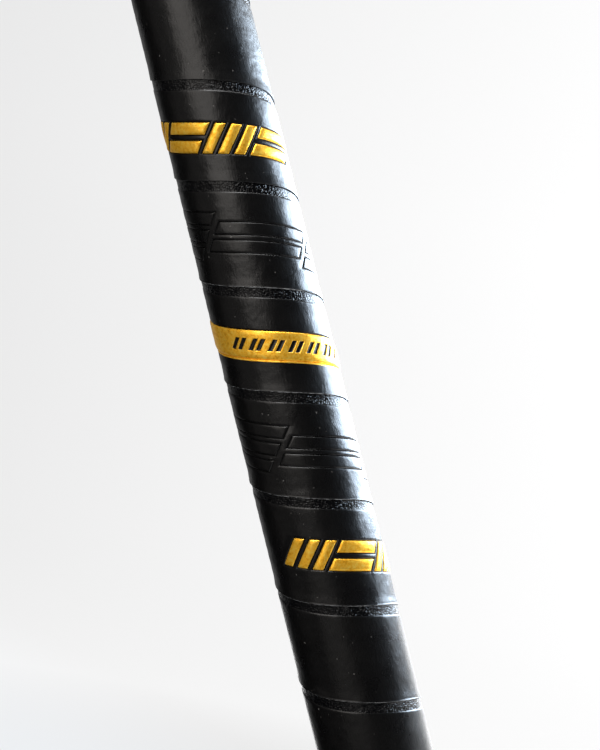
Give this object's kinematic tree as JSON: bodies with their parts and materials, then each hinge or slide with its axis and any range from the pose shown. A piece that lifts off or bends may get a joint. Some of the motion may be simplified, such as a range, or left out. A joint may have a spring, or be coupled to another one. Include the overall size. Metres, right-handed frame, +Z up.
{
  "type": "floorball stick",
  "caption": "Left-hooked floorball stick: round composite shaft, spirally wrapped cushioned grip with end cap and closing tape, and a moulded lattice blade screwed to the shaft.",
  "frame": {"origin": "on the floor, in the middle of the blade's flat sole", "axes": "+Z up in the played pose, +X from the heel towards the toe, the hollow forehand face looks towards -Y; the shaft leans towards -X, 62 degrees above the floor"},
  "size_m": [0.7204, 0.0466, 0.922],
  "materials": {
    "shaft_composite": "satin lacquer over woven carbon and glass fibre, with plain gold bands",
    "cap_rubber": "matt moulded rubber",
    "grip_leather": "black coated grip tape, satin, with a pebbled border and gold printed bars",
    "backing_felt": "thin felt with adhesive",
    "closing_tape": "stretched elastic tape, slightly wrinkled",
    "blade_plastic": "moulded polyethylene with a fine spark texture",
    "screw_steel": "zinc-plated steel",
    "hotmelt": "translucent amber hot-melt adhesive"
  },
  "bodies": {
    "root": {"shaft_tube": "shaft_composite", "end_cap": "cap_rubber", "grip_wrap": "grip_leather", "grip_backing": "backing_felt", "grip_closing_tape": "closing_tape", "blade": "blade_plastic", "blade_screws": "screw_steel", "hotmelt_sleeve": "hotmelt"}
  },
  "joints": []
}
